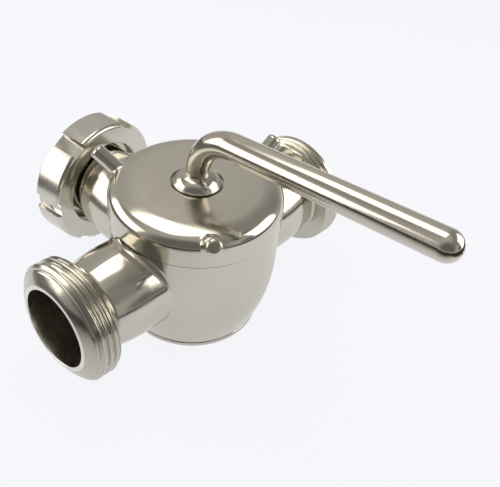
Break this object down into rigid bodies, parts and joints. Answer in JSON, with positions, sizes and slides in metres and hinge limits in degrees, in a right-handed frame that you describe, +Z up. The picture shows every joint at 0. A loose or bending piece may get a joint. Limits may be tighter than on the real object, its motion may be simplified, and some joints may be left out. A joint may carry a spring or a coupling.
{
  "type": "sanitary plug valve",
  "caption": "Three-way sanitary plug valve: tapered plug turned by a bent lever, screw cap with grip pegs, threaded run ends and a branch with a slotted union nut.",
  "frame": {"origin": "centre of the base's lower face, on the axis that the plug turns about", "axes": "+Z up along the plug's axis, the straight run along X, the branch with the union nut along +Y, the lever towards -Y at rest"},
  "size_m": [0.2258, 0.2986, 0.1711],
  "materials": {
    "pot_steel": "polished",
    "end_steel": "turned and polished",
    "nut_steel": "satin turned",
    "cap_steel": "polished, fine satin on top",
    "peg_steel": "polished",
    "lever_steel": "polished",
    "plug_steel": "ground",
    "spring_steel": "plain",
    "white_ptfe": "matte",
    "seal_rubber": "matte"
  },
  "bodies": {
    "valve": {"valve_body": "pot_steel", "base_plate": "pot_steel", "threaded_end_front": "end_steel", "threaded_end_rear": "end_steel", "union_liner": "end_steel", "cap_gasket": "white_ptfe"},
    "bush": {"cap_bush": "white_ptfe"},
    "cap": {"screw_cap": "cap_steel", "grip_peg_1": "peg_steel", "grip_peg_2": "peg_steel", "grip_peg_3": "peg_steel"},
    "rotor": {"plug": "plug_steel", "plug_seal_upper": "seal_rubber", "plug_seal_lower": "seal_rubber", "disc_spring_lower": "spring_steel", "disc_spring_upper": "spring_steel", "stem": "plug_steel", "stem_seal": "seal_rubber", "lever": "lever_steel"},
    "nut": {"union_nut": "nut_steel"}
  },
  "joints": [
    {"name": "plug_turn", "type": "hinge", "parent": "valve", "child": "rotor", "pos_m": [0, 0, 0.0487], "axis": [0, 0, 1], "continuous": true},
    {"name": "cap_lift", "type": "slide", "parent": "valve", "child": "bush", "axis": [0, 0, 1], "range_m": [0, 0.01]},
    {"name": "cap_turn", "type": "hinge", "parent": "bush", "child": "cap", "pos_m": [0, 0, 0.09], "axis": [0, 0, 1], "range_deg": [0, 850]},
    {"name": "nut_turn", "type": "hinge", "parent": "valve", "child": "nut", "pos_m": [0.00122, 0.09923, 0.04634], "axis": [-0.1045, 0.9945, 0], "continuous": true}
  ],
  "couplings": [
    {"joint": "cap_lift", "follows": "cap_turn", "m_per_rad": 0.00067376}
  ]
}
